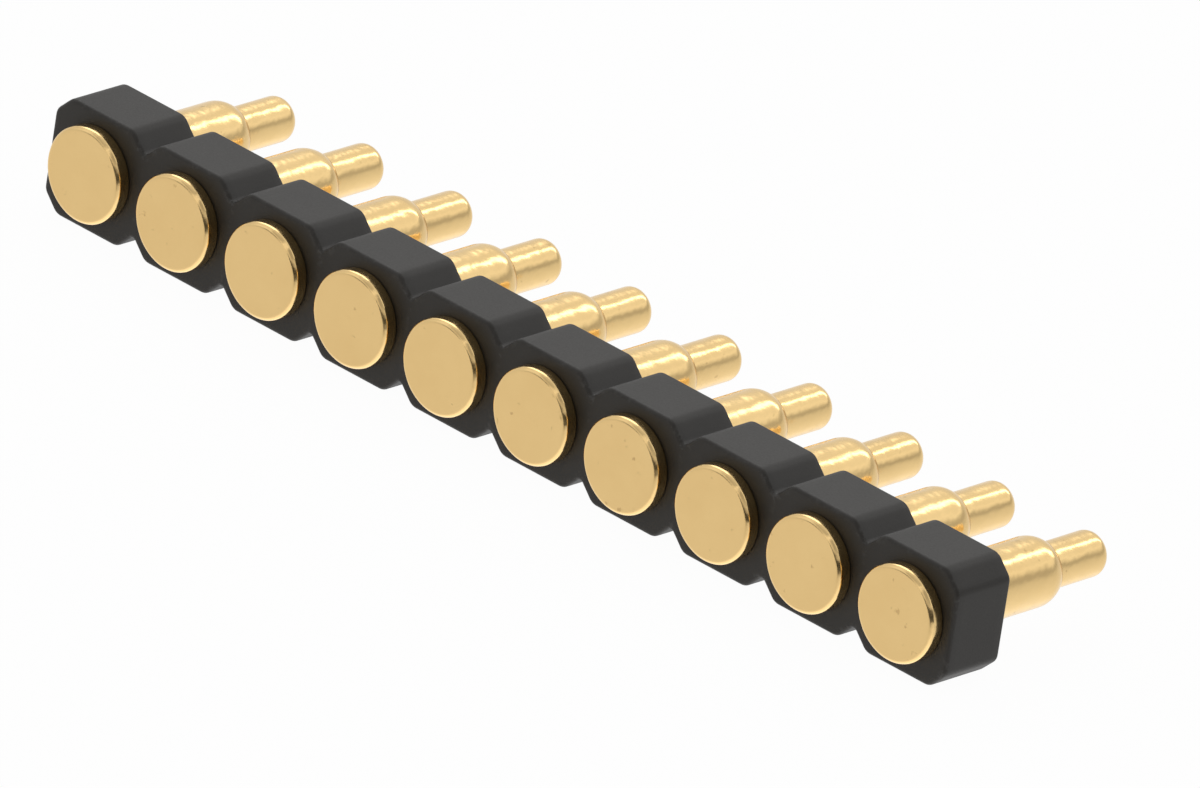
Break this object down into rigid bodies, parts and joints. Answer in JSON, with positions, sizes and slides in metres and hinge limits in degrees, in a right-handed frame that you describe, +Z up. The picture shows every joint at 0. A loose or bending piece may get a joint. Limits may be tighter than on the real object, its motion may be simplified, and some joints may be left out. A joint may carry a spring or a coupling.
{
  "type": "single-row pin header",
  "caption": "Straight single-row board header: a notched break-away plastic strip with gold-plated turned pins, each with a flat round contact head in front and a solder tail behind.",
  "frame": {"origin": "on the axis of pin 1, in the plane of the pins' shoulders, where the board's surface lies", "axes": "+X along the row from pin 1 to pin 10, +Y along the solder tails, +Z up across the strip's height"},
  "size_m": [0.0254, 0.0058, 0.0026],
  "materials": {
    "insulator": "black glass-filled moulding, matte",
    "contact": "turned brass, gold plated, satin"
  },
  "bodies": {
    "root": {"insulator": "insulator", "contact_pin_1": "contact", "contact_pin_2": "contact", "contact_pin_3": "contact", "contact_pin_4": "contact", "contact_pin_5": "contact", "contact_pin_6": "contact", "contact_pin_7": "contact", "contact_pin_8": "contact", "contact_pin_9": "contact", "contact_pin_10": "contact"}
  },
  "joints": []
}
